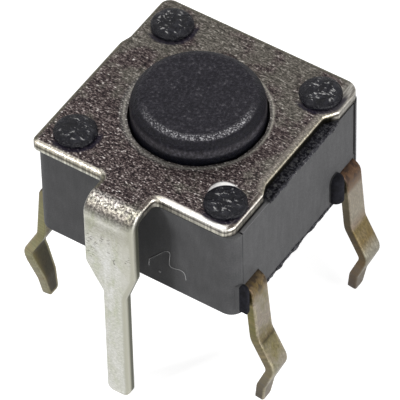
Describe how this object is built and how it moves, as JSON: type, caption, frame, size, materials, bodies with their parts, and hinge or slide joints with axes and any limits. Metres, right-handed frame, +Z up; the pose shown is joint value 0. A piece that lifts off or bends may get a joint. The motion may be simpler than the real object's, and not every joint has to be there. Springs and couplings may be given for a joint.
{
  "type": "tactile push button switch",
  "caption": "Square board-mount push button switch with a riveted metal cover, a round black button, kinked signal terminals and a long ground terminal.",
  "frame": {"origin": "centre of the housing's flat underside, where the board's surface comes", "axes": "+Z up through the button, -Y towards the side with the ground terminal, the signal terminals leave the sides at +X and -X"},
  "size_m": [0.0078, 0.0071, 0.0077],
  "materials": {
    "black_moulding": "moulded black thermoplastic, satin",
    "plated_sheet": "tin-plated sheet steel with a fine mottled grain",
    "black_button": "fine-grained matt black thermoplastic",
    "spring_steel": "bright spring steel",
    "terminal_metal": "tarnished silver-plated brass"
  },
  "bodies": {
    "base": {"housing": "black_moulding", "cover_plate": "plated_sheet", "snap_dome": "spring_steel", "common_contact_strip": "terminal_metal", "centre_contact_strip": "terminal_metal"},
    "button": {"plunger": "black_button"}
  },
  "joints": [
    {"name": "plunger_press", "type": "slide", "parent": "base", "child": "button", "axis": [0, 0, -1], "range_m": [0, 0.00025], "stiffness_N_per_m": 3900, "deforming": ["snap_dome"]}
  ]
}
